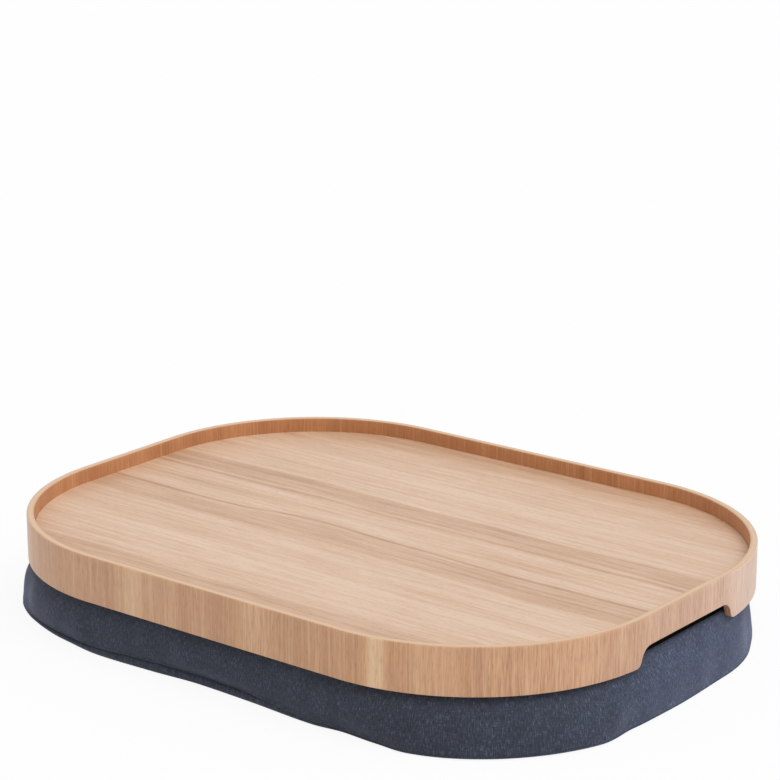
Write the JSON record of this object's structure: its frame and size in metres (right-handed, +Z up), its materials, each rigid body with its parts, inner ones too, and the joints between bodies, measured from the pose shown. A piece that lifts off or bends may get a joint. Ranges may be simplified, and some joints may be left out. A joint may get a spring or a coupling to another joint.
{
  "type": "lap tray",
  "caption": "Veneered plywood tray with a bent rim and finger grips, held by hook and loop tape on a bead-filled canvas cushion.",
  "frame": {"origin": "on the lap or table under the middle of the cushion", "axes": "+X along the tray's long side, +Y to its back side, +Z up"},
  "size_m": [0.434, 0.3308, 0.062],
  "materials": {
    "plywood": "matte",
    "oak_face": "satin",
    "oak_rim": "satin",
    "hook_tape": "matte",
    "loop_tape": "matte",
    "canvas": "matte",
    "cotton": "matte",
    "beads": "matte",
    "zip_tape": "matte",
    "zip_coil": "satin",
    "zip_metal": "satin"
  },
  "bodies": {
    "cushion": {"cover_top": "canvas", "cover_side_band": "canvas", "cover_bottom": "canvas", "liner_top": "cotton", "liner_bottom": "cotton", "bead_fill": "beads", "loop_strip_front": "loop_tape", "loop_strip_back": "loop_tape", "loop_strip_left": "loop_tape", "loop_strip_right": "loop_tape", "zip_tape_upper": "zip_tape", "zip_tape_lower": "zip_tape", "zip_coil_upper": "zip_coil", "zip_coil_lower": "zip_coil", "zip_closed_end_stops": "zip_metal", "zip_open_end_stop": "zip_metal"},
    "tray": {"panel_core": "plywood", "panel_face_veneer": "oak_face", "panel_back_veneer": "oak_face", "rim_outer_veneer": "oak_rim", "rim_outer_ply": "plywood", "rim_middle_ply": "plywood", "rim_inner_ply": "plywood", "rim_inner_veneer": "oak_rim", "hook_strip_front": "hook_tape", "hook_strip_back": "hook_tape", "hook_strip_left": "hook_tape", "hook_strip_right": "hook_tape"},
    "slider": {"zip_slider": "zip_metal"},
    "pull": {"zip_pull": "zip_metal"}
  },
  "joints": [
    {"name": "tray_lift", "type": "slide", "parent": "cushion", "child": "tray", "axis": [0, 0, 1], "range_m": [0, 0.1]},
    {"name": "zip_run", "type": "slide", "parent": "cushion", "child": "slider", "axis": [-1, 0, 0], "range_m": [0, 0.16]},
    {"name": "pull_swing", "type": "hinge", "parent": "slider", "child": "pull", "pos_m": [0.0828, 0.1658, 0.0175], "axis": [0, 0, -1], "range_deg": [0, 180]}
  ]
}
